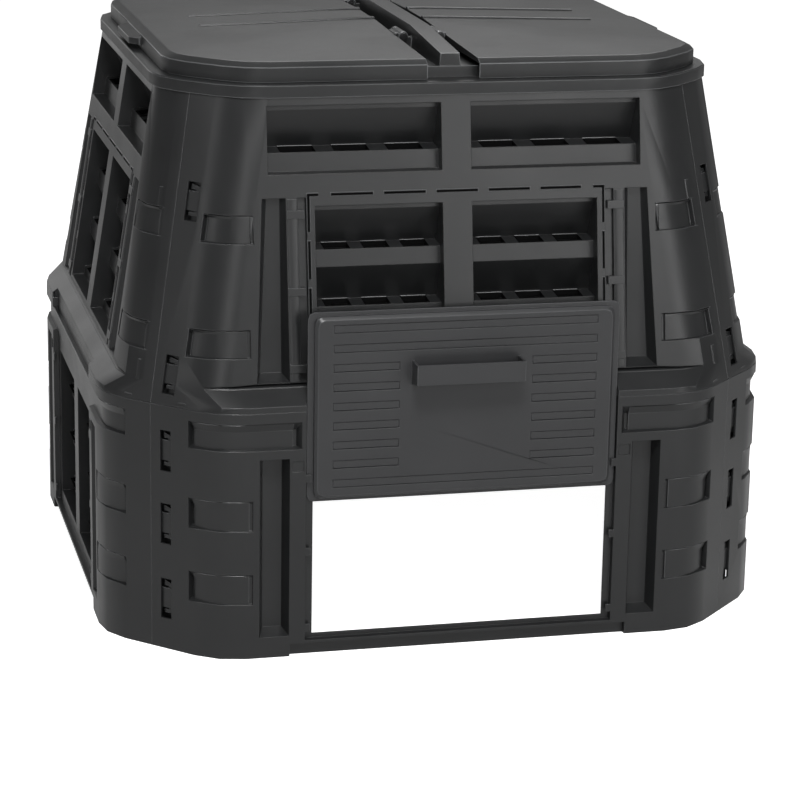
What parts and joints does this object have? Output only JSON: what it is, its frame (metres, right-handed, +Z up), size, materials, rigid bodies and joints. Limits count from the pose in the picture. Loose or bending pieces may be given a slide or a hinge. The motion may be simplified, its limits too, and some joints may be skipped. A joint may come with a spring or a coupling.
{
  "type": "compost bin",
  "caption": "Square garden compost bin with rounded corners, built from louvred wall panels in a lower and a tapered upper tier, with a sliding hatch and a hinged flap lid.",
  "frame": {"origin": "on the ground, under the middle of the object's box, which is on the middle plane of the front and back and 16.7 mm in front of the middle of the walls because of the hatch's handle", "axes": "+Z up, -Y towards the front with the hatch, +X to the right of someone who looks at the front"},
  "size_m": [0.933, 0.9664, 0.8],
  "materials": {
    "wall_plastic": "black moulded plastic with a fine satin grain",
    "hatch_plastic": "charcoal moulded plastic, slightly smoother than the walls",
    "lid_plastic": "black moulded plastic with a fine satin grain",
    "pin_plastic": "plain dark plastic"
  },
  "bodies": {
    "bin": {"lower_panel_front": "wall_plastic", "lower_panel_right": "wall_plastic", "lower_panel_back": "wall_plastic", "lower_panel_left": "wall_plastic", "upper_panel_front": "wall_plastic", "upper_panel_right": "wall_plastic", "upper_panel_back": "wall_plastic", "upper_panel_left": "wall_plastic", "lid_frame": "lid_plastic", "hinge_pin_left_front": "pin_plastic", "hinge_pin_left_back": "pin_plastic", "hinge_pin_right_front": "pin_plastic", "hinge_pin_right_back": "pin_plastic"},
    "hatch": {"hatch_door": "hatch_plastic"},
    "flap_left": {"lid_flap_left": "lid_plastic"},
    "flap_right": {"lid_flap_right": "lid_plastic"}
  },
  "joints": [
    {"name": "hatch_slide", "type": "slide", "parent": "bin", "child": "hatch", "axis": [0, 0, 1], "range_m": [-0.1915, 0.03]},
    {"name": "flap_left_hinge", "type": "hinge", "parent": "bin", "child": "flap_left", "pos_m": [-0.026, 0.0167, 0.786], "axis": [0, 1, 0], "range_deg": [0, 95]},
    {"name": "flap_right_hinge", "type": "hinge", "parent": "bin", "child": "flap_right", "pos_m": [0.026, 0.0167, 0.786], "axis": [0, -1, 0], "range_deg": [0, 95]}
  ]
}
